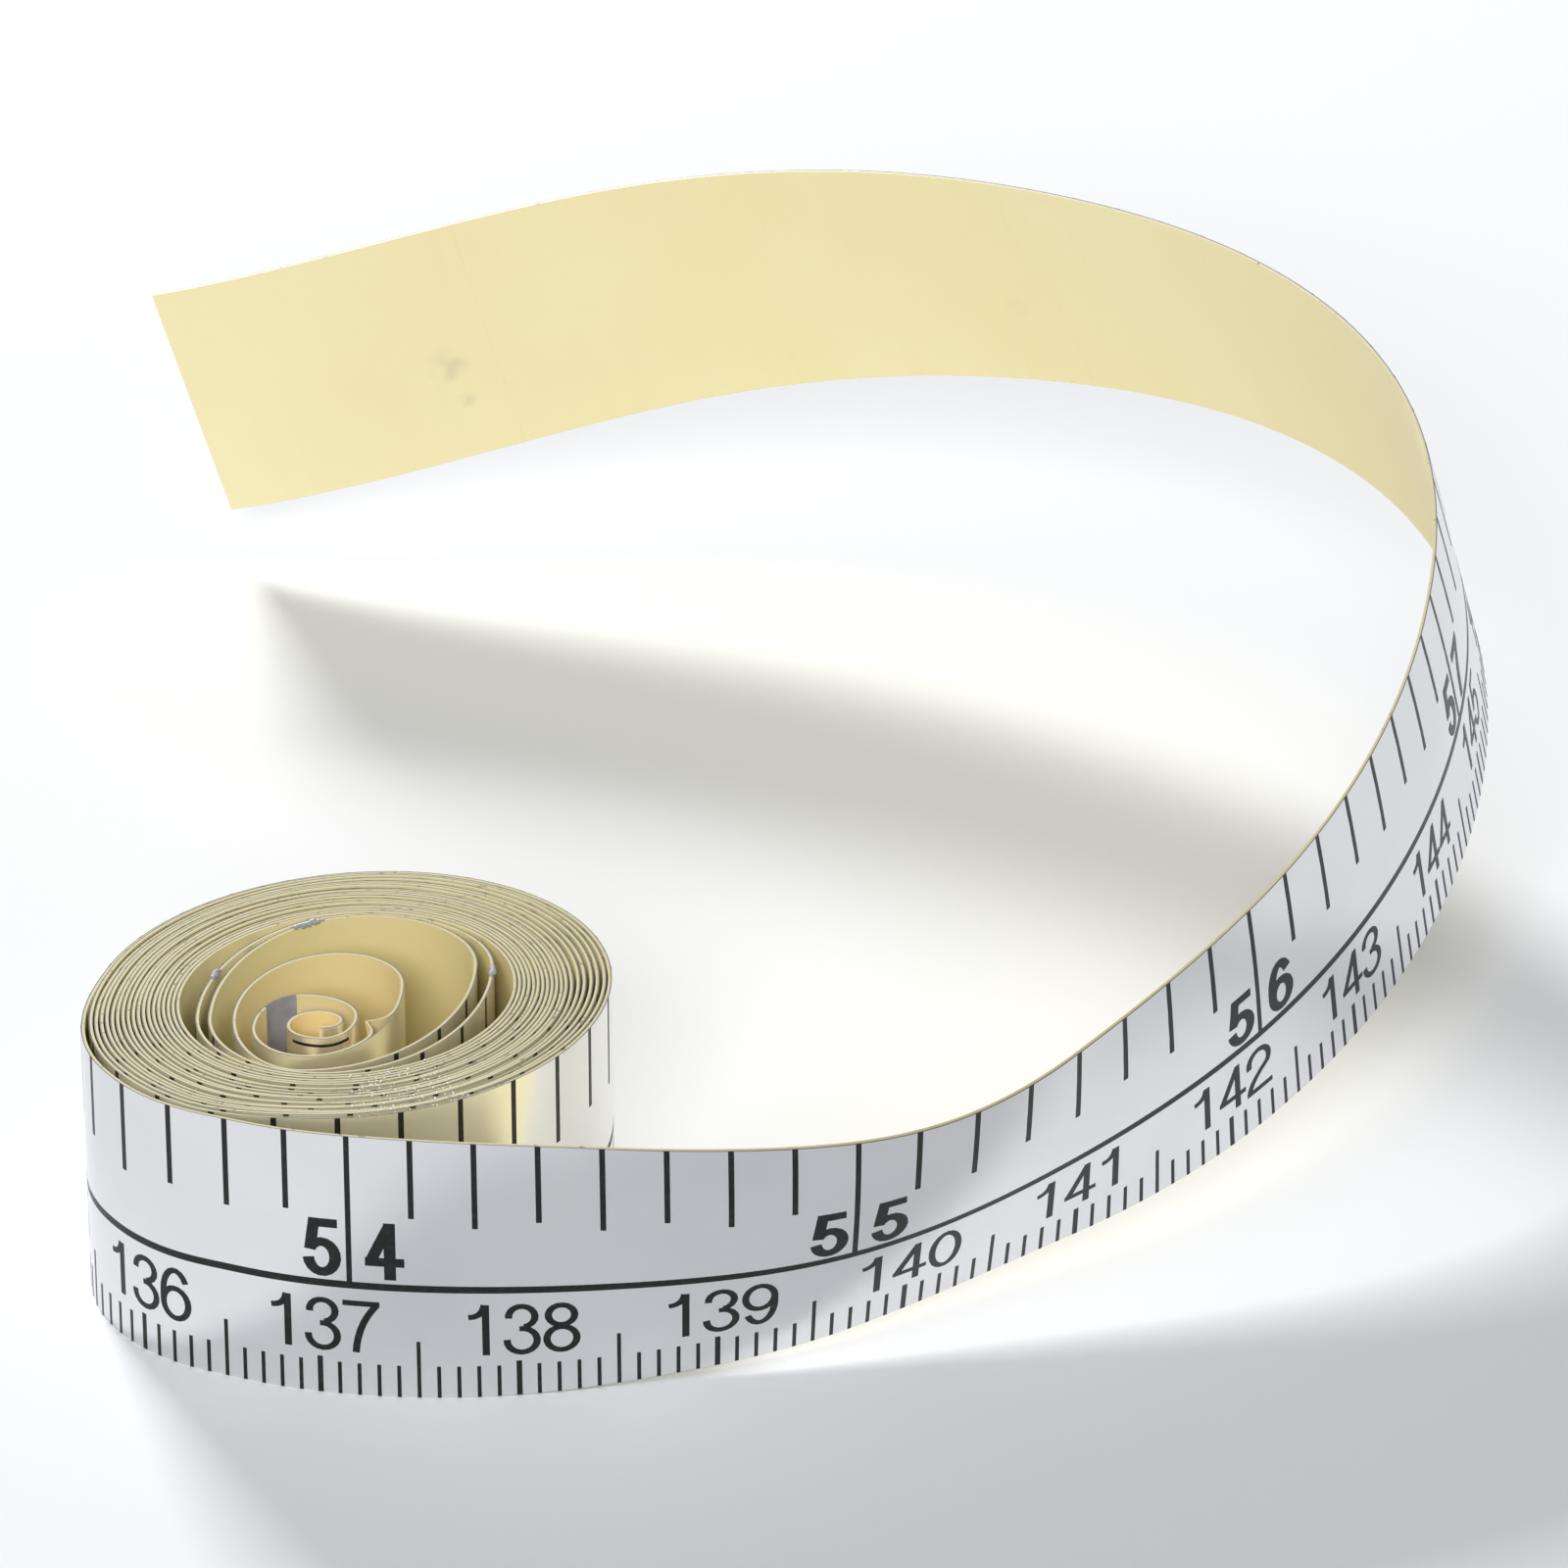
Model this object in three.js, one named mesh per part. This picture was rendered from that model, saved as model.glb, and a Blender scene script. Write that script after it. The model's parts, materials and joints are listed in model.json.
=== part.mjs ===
// A self-adhesive tape measure that stands on its edge, most of it wound in a coil and the rest sprung free.
// Printed film, adhesive and release liner lie on one path: a spiral, a lead-out that leaves its outer turn,
// and a free run that bends about the tape's width and twists about its length.
// Millimetres and degrees, +Z up, with the origin under the middle of the tape's box.

import * as THREE from 'three';

// Layers of the tape, from the printed side inwards
const TAPE_WIDTH = 15;
const FILM_THICKNESS = 0.08;
const ADHESIVE_THICKNESS = 0.03;
const LINER_THICKNESS = 0.15;
const BOND_GAP = 0.01; // keeps two bonded layers apart as solids

// Coil, measured to the printed face, from the point where the tape leaves it
const COIL_RADIUS = 13.3;
const LEAVING_ANGLE = 167;
const PACK_DEPTH = 4.6; // radial depth of the evenly wound turns
const TURN_CLEARANCE = 0.43; // from one turn to the next
const LOOSE_TURNS = 5; // slack turns from the pack to the inner end
const CORE_RADIUS = 1.2;
const CORE_SHIFT_X = -1.4; // the slack turns hang towards one side
const CORE_SHIFT_Y = -2.6;
const STEPS_PER_TURN = 24;

// Lead-out: the outer turn swells away from the coil, turns in sharply and runs out nearly straight.
// Its bends are multiples of the coil's own bend, at its start, middle and end.
const LEAD_OUT_ARC = 109;
const LEAD_OUT_BENDS = [0.64, 1.24, 0.33];

// Free run, from the first hinge line to the cut end, with one hinge line at each inch mark of the scale
const FIRST_MARK_NUMBER = 54;
const MARK_SPACING = 25.4;
const RUN_LENGTH = 181.5;
const HINGE_GAP = 0.12; // from one section of the run to the next
const PEEL_TAB_LENGTH = 18; // end of the liner that lifts off the adhesive
const STEPS_PER_SECTION = 12;
const WALK_STEP = 0.5;

// Bend about the width and twist about the length, in degrees per mark spacing, at marks along the run
const RUN_SHAPE = [
  { mark: 0.5, bend: 12, twist: 35 },
  { mark: 1, bend: 51, twist: 22 },
  { mark: 1.5, bend: 18, twist: -25 },
  { mark: 2, bend: 31, twist: -10 },
  { mark: 3, bend: 32, twist: -5 },
  { mark: 4, bend: 42, twist: -8 },
  { mark: 5, bend: 20, twist: 6 },
  { mark: 6, bend: 35, twist: 8 },
  { mark: 7.25, bend: -45, twist: -5 },
];

const { degToRad, radToDeg } = THREE.MathUtils;
const UP = new THREE.Vector3(0, 0, 1);

const layers = {
  face_film: { depth: 0, thickness: FILM_THICKNESS },
  adhesive: { depth: FILM_THICKNESS + BOND_GAP, thickness: ADHESIVE_THICKNESS },
  release_liner: { depth: FILM_THICKNESS + ADHESIVE_THICKNESS + 2 * BOND_GAP, thickness: LINER_THICKNESS },
};
const tapeThickness = layers.release_liner.depth + LINER_THICKNESS;

// A station is a place on the tape: a point of the printed face at half width, and the directions along the
// tape, across its width and out of the printed face.
function station(point, along, across) {
  return { point, along, across, out: new THREE.Vector3().crossVectors(along, across) };
}

// The coil as a spiral. Turns are counted inwards from the leaving point: first the pack at a steady pitch,
// then the slack turns, whose centre drifts aside as they shrink to the core.
const turnPitch = tapeThickness + TURN_CLEARANCE;
const packTurns = PACK_DEPTH / turnPitch;
const packInnerRadius = COIL_RADIUS - PACK_DEPTH;
const slackPitch = (packInnerRadius - CORE_RADIUS) / LOOSE_TURNS;

function spiralPoint(turns) {
  const slack = Math.max(turns - packTurns, 0);
  const radius = slack > 0 ? packInnerRadius - slack * slackPitch : COIL_RADIUS - turns * turnPitch;
  const angle = degToRad(LEAVING_ANGLE - 360 * turns);
  const drift = slack / LOOSE_TURNS;
  const x = CORE_SHIFT_X * drift + radius * Math.cos(angle);
  const y = CORE_SHIFT_Y * drift + radius * Math.sin(angle);
  return new THREE.Vector3(x, y, TAPE_WIDTH / 2);
}

function coilStations() {
  const stepTurns = 1 / STEPS_PER_TURN;
  const steps = Math.floor((packTurns + LOOSE_TURNS) * STEPS_PER_TURN);
  const stations = [];
  for (let step = steps; step > 0; step -= 1) {
    const turns = step * stepTurns;
    const ahead = spiralPoint(turns - stepTurns);
    const behind = spiralPoint(turns + stepTurns);
    stations.push(station(spiralPoint(turns), ahead.sub(behind).normalize(), UP.clone()));
  }
  return stations;
}

// Rates of the lead-out and the run at a distance from the leaving point, linear from one knot to the next
const leadOutLength = COIL_RADIUS * degToRad(LEAD_OUT_ARC);
const coilBend = radToDeg(1 / COIL_RADIUS);
const knots = [
  ...LEAD_OUT_BENDS.map((share, i) => ({ at: (leadOutLength * i) / 2, bend: share * coilBend, twist: 0 })),
  ...RUN_SHAPE.map(({ mark, bend, twist }) => ({
    at: leadOutLength + mark * MARK_SPACING,
    bend: bend / MARK_SPACING,
    twist: twist / MARK_SPACING,
  })),
];

function ratesAt(distance) {
  const next = knots.findIndex((knot) => knot.at > distance);
  if (next < 0) return knots[knots.length - 1];
  const from = knots[Math.max(next - 1, 0)];
  const to = knots[next];
  const share = to === from ? 0 : (distance - from.at) / (to.at - from.at);
  return {
    bend: THREE.MathUtils.lerp(from.bend, to.bend, share),
    twist: THREE.MathUtils.lerp(from.twist, to.twist, share),
  };
}

// Moves a station along the tape by one short step, turning it as the tape bends and twists there.
function advance(from, distance, step) {
  const { bend, twist } = ratesAt(distance + step / 2);
  const turn = from.across.clone().multiplyScalar(bend).addScaledVector(from.along, twist);
  const angle = degToRad(turn.length() * step);
  turn.normalize();
  const along = from.along.clone().applyAxisAngle(turn, angle);
  const across = from.across.clone().applyAxisAngle(turn, angle);
  const chord = from.along.clone().add(along).multiplyScalar(step / 2);
  return station(from.point.clone().add(chord), along, across);
}

function walkTape(length) {
  const leaving = degToRad(LEAVING_ANGLE);
  const along = new THREE.Vector3(-Math.sin(leaving), Math.cos(leaving), 0);
  const trail = [station(spiralPoint(0), along, UP.clone())];
  while (trail.length * WALK_STEP < length) {
    trail.push(advance(trail[trail.length - 1], (trail.length - 1) * WALK_STEP, WALK_STEP));
  }
  return trail;
}

const trail = walkTape(leadOutLength + RUN_LENGTH);

function stationAt(distance) {
  const index = Math.min(Math.floor(distance / WALK_STEP), trail.length - 1);
  return advance(trail[index], index * WALK_STEP, distance - index * WALK_STEP);
}

function stretch(from, to, steps) {
  return Array.from({ length: steps + 1 }, (_, i) => stationAt(from + ((to - from) * i) / steps));
}

// One layer of the tape as a closed ribbon through the given stations
function ribbon(stations, { depth, thickness }) {
  const corners = [
    [depth, -0.5],
    [depth, 0.5],
    [depth + thickness, 0.5],
    [depth + thickness, -0.5],
  ];
  const positions = [];
  for (const { point, across, out } of stations) {
    for (const [inwards, height] of corners) {
      const corner = point.clone().addScaledVector(out, -inwards);
      corner.addScaledVector(across, height * TAPE_WIDTH);
      positions.push(...corner.toArray());
    }
  }
  const sides = corners.length;
  const end = sides * (stations.length - 1);
  const indices = [0, 1, 2, 0, 2, 3, end, end + 2, end + 1, end, end + 3, end + 2];
  for (let base = 0; base < end; base += sides) {
    for (let side = 0; side < sides; side += 1) {
      const near = base + side;
      const nearNext = base + ((side + 1) % sides);
      const far = near + sides;
      const farNext = nearNext + sides;
      // Front and back split along the same diagonal, so a twisted layer keeps its thickness
      const onBack = side >= sides / 2;
      if (onBack) indices.push(near, far, nearNext, far, farNext, nearNext);
      else indices.push(near, far, farNext, near, farNext, nearNext);
    }
  }
  const geometry = new THREE.BufferGeometry();
  geometry.setAttribute('position', new THREE.Float32BufferAttribute(positions, 3));
  geometry.setIndex(indices);
  geometry.computeVertexNormals();
  return geometry;
}

const finishes = {
  face_film: { color: 0xc8cbd1, roughness: 0.3, metalness: 0.85 },
  adhesive: { color: 0xb9b8b2, roughness: 0.25, metalness: 0.1 },
  release_liner: { color: 0xf2e7b8, roughness: 0.75, metalness: 0 },
};

function layerMesh(name, layer, stations) {
  const material = new THREE.MeshStandardMaterial(finishes[layer]);
  const mesh = new THREE.Mesh(ribbon(stations, layers[layer]), material);
  mesh.name = name;
  return mesh;
}

// Clear distance between the back of each turn and the printed face of the turn inside it
function leastGapBetweenTurns(stations) {
  const between = new THREE.Line3();
  const nearest = new THREE.Vector3();
  let least = Infinity;
  stations.forEach(({ point, out }, i) => {
    const back = point.clone().addScaledVector(out, -tapeThickness);
    for (let j = 1; j < i - STEPS_PER_TURN / 2; j += 1) {
      between.set(stations[j - 1].point, stations[j].point);
      between.closestPointToPoint(back, true, nearest);
      least = Math.min(least, nearest.distanceTo(back));
    }
  });
  return least;
}

const tape = new THREE.Group();

// Wound body: the coil and its lead-out, up to the first hinge line
const firstHinge = leadOutLength;
const wound = [...coilStations(), ...stretch(0, firstHinge - HINGE_GAP / 2, STEPS_PER_SECTION)];
for (const layer of Object.keys(layers)) {
  tape.add(layerMesh(`${layer}_coil`, layer, wound));
}

// Free run: one section from each inch mark to the next, and the last one on to the cut end
const sections = Math.floor(RUN_LENGTH / MARK_SPACING);
const cutEnd = firstHinge + RUN_LENGTH;
const peelLine = cutEnd - PEEL_TAB_LENGTH;
for (let section = 0; section < sections; section += 1) {
  const isLast = section === sections - 1;
  const start = firstHinge + section * MARK_SPACING + HINGE_GAP / 2;
  const stop = isLast ? cutEnd : firstHinge + (section + 1) * MARK_SPACING - HINGE_GAP / 2;
  const mark = FIRST_MARK_NUMBER + section;
  for (const layer of Object.keys(layers)) {
    const liftsOff = isLast && layer === 'release_liner';
    const layerStop = liftsOff ? peelLine - HINGE_GAP / 2 : stop;
    tape.add(layerMesh(`${layer}_inch_${mark}`, layer, stretch(start, layerStop, STEPS_PER_SECTION)));
  }
}
const tabStations = stretch(peelLine + HINGE_GAP / 2, cutEnd, STEPS_PER_SECTION);
tape.add(layerMesh('liner_peel_tab', 'release_liner', tabStations));

console.log(`least gap between turns of the coil: ${leastGapBetweenTurns(wound).toFixed(3)} mm`);

// Stand the tape on z = 0, centred over the origin
const box = new THREE.Box3().setFromObject(tape);
const centre = box.getCenter(new THREE.Vector3());
tape.position.set(-centre.x, -centre.y, -box.min.z);

export default tape;
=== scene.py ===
# %% [markdown]
# # A self-adhesive tape measure on its edge
# The object is one long strip in three layers: silver film printed with an inch and a centimetre scale, a
# coat of adhesive, and a pale yellow release liner. Most of it is wound in a coil, and its end springs free
# in a wide arc. Each layer could be modelled in its final shape, but then its print would have to be bent by
# hand. So every layer is made flat first, as at the printer's, and then laid on one path.

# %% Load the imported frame
import json
import math

import bpy
import numpy as np
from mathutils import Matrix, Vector


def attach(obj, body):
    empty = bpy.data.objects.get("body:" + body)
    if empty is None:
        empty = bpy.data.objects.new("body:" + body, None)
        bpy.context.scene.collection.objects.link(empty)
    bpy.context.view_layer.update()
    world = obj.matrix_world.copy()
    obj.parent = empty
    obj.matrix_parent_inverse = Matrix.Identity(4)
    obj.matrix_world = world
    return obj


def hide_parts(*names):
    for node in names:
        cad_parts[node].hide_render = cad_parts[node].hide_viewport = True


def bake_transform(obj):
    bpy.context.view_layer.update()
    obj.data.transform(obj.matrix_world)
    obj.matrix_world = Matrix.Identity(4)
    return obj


MM = 0.001
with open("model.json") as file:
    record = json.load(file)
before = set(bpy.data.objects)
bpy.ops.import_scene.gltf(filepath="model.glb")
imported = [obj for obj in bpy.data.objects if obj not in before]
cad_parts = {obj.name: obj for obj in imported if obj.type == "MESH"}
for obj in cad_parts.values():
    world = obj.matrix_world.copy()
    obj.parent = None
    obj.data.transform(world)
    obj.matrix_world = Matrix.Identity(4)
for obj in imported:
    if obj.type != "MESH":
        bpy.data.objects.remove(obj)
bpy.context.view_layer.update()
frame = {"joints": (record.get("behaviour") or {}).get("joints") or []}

# %% [markdown]
# ## Camera
# The printed marks are a ruler inside the picture, so the camera could be worked out from them: it stands
# 0.4 m in front of the tape and looks down by a little under 29 degrees, through a long lens.

# %% Make the camera
CAMERA_PLACE = (-0.00063, -0.43903, 0.25044)
CAMERA_TILT = 28.69
camera_data = bpy.data.cameras.new("photo_camera")
camera_data.sensor_width = 36.0
camera_data.lens = 213.75
camera = bpy.data.objects.new("photo_camera", camera_data)
camera.location = CAMERA_PLACE
camera.rotation_euler = (math.radians(90 - CAMERA_TILT), 0, 0)
bpy.context.scene.collection.objects.link(camera)
bpy.context.scene.camera = camera
print("camera at", [round(value, 3) for value in camera.location])

# %% [markdown]
# ## The path of the tape
# A place on the tape is named by its reading on the scale, in millimetres from the inner end. The free run is
# walked in short steps, and at each step the tape bends about its width and twists about its length, by the
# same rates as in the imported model. The rates are in degrees per inch, at inch marks after mark 54. On the
# lead-out, where the tape still hugs the coil, they are shares of the coil's own bend.

# %% Set out the bends and twists
INCH = 25.4
WIDTH = 15.0
COIL_RADIUS = 13.3
LEAVING_ANGLE = math.radians(167)
LEAD_OUT = COIL_RADIUS * math.radians(109)
FIRST_HINGE = 54 * INCH
CUT_END = FIRST_HINGE + 181.5
PEEL_LINE = CUT_END - 18.0
LEAVING = FIRST_HINGE - LEAD_OUT
LEAD_BEND_SHARES = [0.64, 1.24, 0.33]
RUN_MARKS = [0.5, 1, 1.5, 2, 3, 4, 5, 6, 7.25]
RUN_BENDS = [12, 51, 18, 31, 32, 42, 20, 35, -45]
RUN_TWISTS = [35, 22, -25, -10, -5, -8, 6, 8, -5]

coil_bend = math.degrees(INCH / COIL_RADIUS)
rate_places = [LEAVING, LEAVING + LEAD_OUT / 2, FIRST_HINGE]
rate_places += [FIRST_HINGE + mark * INCH for mark in RUN_MARKS]
rate_bends = [share * coil_bend for share in LEAD_BEND_SHARES] + RUN_BENDS
rate_twists = [0] * len(LEAD_BEND_SHARES) + RUN_TWISTS
print(f"bends: {min(rate_bends):.0f} to {max(rate_bends):.0f} degrees per inch")


# %% Walk the lead-out and the free run
def turned(vector, axis, angle):
    """Vector turned about a unit axis."""
    side = np.cross(axis, vector)
    kept, lost = math.cos(angle), 1 - math.cos(angle)
    return vector * kept + side * math.sin(angle) + axis * (axis @ vector) * lost


def walk_run(step):
    """Points and width directions from the leaving point to the cut end."""
    east, north = math.cos(LEAVING_ANGLE), math.sin(LEAVING_ANGLE)
    point = np.array([COIL_RADIUS * east, COIL_RADIUS * north, WIDTH / 2])
    along = np.array([-north, east, 0.0])
    across = np.array([0.0, 0.0, 1.0])
    points, widths = [point], [across]
    for place in np.arange(LEAVING, CUT_END, step):
        bend = np.interp(place + step / 2, rate_places, rate_bends)
        twist = np.interp(place + step / 2, rate_places, rate_twists)
        turn = across * bend + along * twist
        angle = math.radians(np.linalg.norm(turn) * step / INCH)
        axis = turn / np.linalg.norm(turn)
        ahead = turned(along, axis, angle)
        across = turned(across, axis, angle)
        point = point + (along + ahead) * step / 2
        along = ahead
        points.append(point)
        widths.append(across)
    return np.array(points), np.array(widths)


WALK_STEP = 0.1
run_points, run_widths = walk_run(WALK_STEP)
run_places = LEAVING + WALK_STEP * np.arange(len(run_points))
print("free run:", len(run_points), "steps, ends", np.round(run_points[-1], 1))

# %% [markdown]
# The coil is a tight spiral inside the lead-out. A round spiral would be one formula, but the real coil has
# been pressed a little oval. So two ovals are given, for its outer and its inner turn, and the turns between
# them shrink from one to the other. At the right some turns stand apart, and the outer ones bulge at the
# left, where the free run pulls at them. The bulge is given by headings, in degrees round the coil.

# %% Shape the ovals of the coil
OVAL_CENTRES = [(0.0, -0.34), (-0.25, -0.4)]
OVAL_HALVES = [(13.6, 12.25), (8.82, 8.07)]
OVAL_TILTS = [33, 43]


def eased(value, low, high):
    """A smooth rise from 0 at low to 1 at high."""
    share = np.clip((value - low) / (high - low), 0, 1)
    return share * share * (3 - 2 * share)


def oval_point(share, apart, angle, bulge):
    """A point of the pack, from its outer oval at share 0 to its inner one at share 1."""
    centre = [np.interp(share, [0, 1], [ends[axis] for ends in OVAL_CENTRES]) for axis in (0, 1)]
    long = np.interp(apart, [0, 1], [halves[0] for halves in OVAL_HALVES])
    short = np.interp(share, [0, 1], [halves[1] for halves in OVAL_HALVES])
    round_to = angle - np.radians(np.interp(share, [0, 1], OVAL_TILTS))
    radius = 1 / np.hypot(np.cos(round_to) / long, np.sin(round_to) / short) + bulge
    return centre[0] + radius * np.cos(angle), centre[1] + radius * np.sin(angle)


print("outer and inner oval:", [(2 * long, 2 * short) for long, short in OVAL_HALVES], "mm across")

# %% Draw the tight turns of the coil
PACK_START = FIRST_HINGE - 7.0
PACK_TURNS = 18
PACK_STEPS = 12000
PACK_END_HEADING = -96
JOIN_TURNS = 0.06
APART_TURNS = [0.3, 2.4, 2.8, 4.4, 4.8, 6.4, 6.8, 19]
APART_SHARES = [0, 0.115, 0.175, 0.26, 0.32, 0.405, 0.465, 1]
BULGE = 0.83
BULGE_RISE = (168, 210)
BULGE_FALL = (232, 263)
BULGE_LOSS = 0.22
BULGE_LOSS_TURNS = (0.3, 0.9)


def pack_line():
    """The tight turns, from the lead-out inwards to the front of the first loose turn."""
    start = np.array([np.interp(PACK_START, run_places, run_points[:, axis]) for axis in (0, 1)])
    first = math.atan2(start[1] - OVAL_CENTRES[0][1], start[0] - OVAL_CENTRES[0][0]) % (2 * math.pi)
    last = math.radians(PACK_END_HEADING)
    angle = np.linspace(first, last - 2 * math.pi * PACK_TURNS, PACK_STEPS)
    turns = (first - angle) / (2 * math.pi)
    share = turns / turns[-1]
    heading = np.degrees(angle) % 360
    at_right = 0.5 + 0.5 * np.cos(angle - math.radians(OVAL_TILTS[0]))
    apart = share + at_right * (np.interp(turns, APART_TURNS, APART_SHARES) - share)
    pulled = (1 - BULGE_LOSS * eased(turns, *BULGE_LOSS_TURNS)) * (1 - share) ** 1.5
    bulge = BULGE * pulled * eased(heading, *BULGE_RISE) * (1 - eased(heading, *BULGE_FALL))
    points = np.stack(oval_point(share, apart, angle, bulge), axis=1)
    return points + (1 - eased(turns, 0, JOIN_TURNS))[:, None] * (start - points[0])


tight_line = pack_line()
print("tight turns:", len(tight_line), "points, the last at", np.round(tight_line[-1], 2))

# %% [markdown]
# The last turns have sprung loose and hang towards one side, and no formula gives their shape. They are drawn
# as a type designer draws a curve, with one point at each extreme (left, back, right and front of each turn)
# and a quarter ellipse between neighbours.

# %% Draw the loose turns of the coil
QUARTER_STEPS = 160
QUARTER_HANDLE = 0.5523
LOOSE_EXTREMES = [
    (-7.85, -2.7), (0.4, 7.84), (7.1, 2.1), (-1.2, -8.54),
    (-7.22, -2.7), (0.4, 7.6), (6.25, 2.3), (-2.2, -8.2),
    (-5.99, -2.8), (-0.8, 3.7), (2.6, 0.3), (-2.0, -6.9),
    (-4.97, -3.86), (-2.4, -0.46), (0.38, -2.7), (-1.39, -5.0),
    (-3.24, -3.6), (-1.67, -2.12), (-0.35, -3.17), (-1.54, -3.98),
]


def quarter_line(start, stop, starts_level):
    """A quarter ellipse from one extreme to the next, as one Bezier segment."""
    level, upright = np.array([1.0, 0.0]), np.array([0.0, 1.0])
    first, last = (level, upright) if starts_level else (upright, level)
    pull = QUARTER_HANDLE * (stop - start)
    handles = [start, start + pull * first, stop - pull * last, stop]
    share = np.linspace(0, 1, QUARTER_STEPS + 1)[1:, None]
    weights = [(1 - share) ** 3, 3 * share * (1 - share) ** 2, 3 * share**2 * (1 - share), share**3]
    return sum(weight * handle for weight, handle in zip(weights, handles))


coil_line = [tight_line]
for number, extreme in enumerate(LOOSE_EXTREMES):
    coil_line.append(quarter_line(coil_line[-1][-1], np.array(extreme), number % 2 == 0))
coil_line = np.concatenate(coil_line)
coil_steps = np.linalg.norm(np.diff(coil_line, axis=0), axis=1)
coil_places = PACK_START - np.concatenate([[0], np.cumsum(coil_steps)])
INNER_END = coil_places[-1]
loose_places = coil_places[PACK_STEPS - 1 :: QUARTER_STEPS]
print(f"coil: inner end at {INNER_END:.1f} mm, pack starts at {PACK_START:.1f} mm on the scale")

# %% [markdown]
# Both parts are put together as one line of evenly spaced stations, and the corner where they meet is
# rounded. Each station has a point, the direction across the tape and the direction out of its printed face.
# The turns of a coil never lie quite level, so a slow wave lifts them by up to a tenth of a millimetre. The
# first hinge of the frame says where the line lies in the model.

# %% Join the path and place it on the frame
PATH_STEP = 0.2
LAYER_DEPTH = 0.28
JOIN_REACH = 6.0
JOIN_WINDOW = 27
UNEVEN = 0.05
UNEVEN_WAVE = 0.13
UNEVEN_DRIFT, DRIFT_WAVE = 1.5, 0.017
UNEVEN_FROM, UNEVEN_OVER = 30, 40
places = np.arange(INNER_END, CUT_END + PATH_STEP, PATH_STEP)
in_coil = places < PACK_START
path_points = np.zeros((len(places), 3))
path_widths = np.zeros((len(places), 3))


def smoothed(values, window):
    """Values averaged with their neighbours, over a window of this many stations."""
    weights = np.hanning(window)[1:-1] / np.hanning(window).sum()
    return np.convolve(np.pad(values, len(weights) // 2, mode="edge"), weights, mode="valid")


def rounded(values):
    """Values smoothed near the join, and left alone beyond its reach."""
    near = 1 - eased(np.abs(places - PACK_START), JOIN_REACH / 3, JOIN_REACH)
    return values + near * (smoothed(values, JOIN_WINDOW) - values)


for axis in range(3):
    wound = coil_line[:, axis] if axis < 2 else np.full(len(coil_line), WIDTH / 2)
    coil_part = np.interp(places, coil_places[::-1], wound[::-1])
    run_part = np.interp(places, run_places, run_points[:, axis])
    path_points[:, axis] = rounded(np.where(in_coil, coil_part, run_part))
    run_width = np.interp(places, run_places, run_widths[:, axis])
    path_widths[:, axis] = np.where(in_coil, float(axis == 2), run_width)
path_along = np.gradient(path_points, axis=0)
path_outs = np.cross(path_along, path_widths)
path_outs /= np.linalg.norm(path_outs, axis=1, keepdims=True)


def at(place, values):
    """One of the path's rows of values at a place on the scale."""
    return np.array([np.interp(place, places, values[:, axis]) for axis in range(3)])


drift = UNEVEN_DRIFT * np.sin(DRIFT_WAVE * places)
uneven = UNEVEN * (1 + np.sin(UNEVEN_WAVE * places + drift))
path_points[:, 2] += uneven * np.clip((PACK_START - UNEVEN_FROM - places) / UNEVEN_OVER, 0, 1)
hinge = np.array(frame["joints"][0]["pos_m"]) / MM
hinge_station = at(FIRST_HINGE, path_points) - at(FIRST_HINGE, path_outs) * LAYER_DEPTH / 2
path_points += hinge - hinge_station
print("path:", len(places), "stations, coil axis at", np.round(path_points[in_coil].mean(axis=0), 2))

# %% [markdown]
# The tape isn't quite flat across its width either: its upper half bows back a little where the run leaves
# the coil. Each station keeps the bow of its upper edge as a third vector. The path then becomes a mesh line,
# whose stations carry the vectors as attributes, since that is what a node tree can read.

# %% Keep the path as a line that node trees can read
BOW_MARKS = [54.2, 54.75, 54.95, 55.25, 56.0, 57.0, 57.6]
BOW_DEPTHS = [0, 0.65, 0.6, 0.25, 0.33, 0.33, 0]
BOW_WINDOW = 63
bow = smoothed(np.interp(places / INCH, BOW_MARKS, BOW_DEPTHS), BOW_WINDOW)
path_bows = -path_outs * bow[:, None] * MM
path_mesh = bpy.data.meshes.new("tape_path")
path_edges = [(index, index + 1) for index in range(len(places) - 1)]
path_mesh.from_pydata((path_points * MM).tolist(), path_edges, [])
for label, values in (("across", path_widths), ("out", path_outs), ("bow", path_bows)):
    attribute = path_mesh.attributes.new(label, "FLOAT_VECTOR", "POINT")
    attribute.data.foreach_set("vector", values.astype(np.float32).ravel())
path_object = bpy.data.objects.new("tape_path", path_mesh)
bpy.context.scene.collection.objects.link(path_object)
print("path line:", len(path_mesh.vertices), "points")

# %% [markdown]
# ## Laying flat things on the path
# A flat layer has its reading along X, its height above the tape's middle along Y and its rise above the
# printed face along Z. One node group bends it: it looks up the two nearest stations, mixes them, and moves
# each point to the path. Whatever is printed on the flat film goes with it.

# %% Short ways to write node trees
def new_tree(name, sockets):
    """A Geometry Nodes tree with these named inputs, and its input and output sockets."""
    tree = bpy.data.node_groups.new(name, "GeometryNodeTree")
    for label, kind in sockets.items():
        tree.interface.new_socket(name=label, in_out="INPUT", socket_type="NodeSocket" + kind)
    tree.interface.new_socket(name="Geometry", in_out="OUTPUT", socket_type="NodeSocketGeometry")
    return tree, tree.nodes.new("NodeGroupInput").outputs, tree.nodes.new("NodeGroupOutput").inputs


def put(tree, kind, values=(), **settings):
    """Adds a node. A value that is a socket is linked, and any other value is set."""
    node = tree.nodes.new(kind)
    for key, value in settings.items():
        setattr(node, key, value)
    for key, value in values.items() if isinstance(values, dict) else enumerate(values):
        for one in value if isinstance(value, list) else [value]:
            if isinstance(one, bpy.types.NodeSocket):
                tree.links.new(one, node.inputs[key])
            else:
                node.inputs[key].default_value = one
    return node


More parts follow.
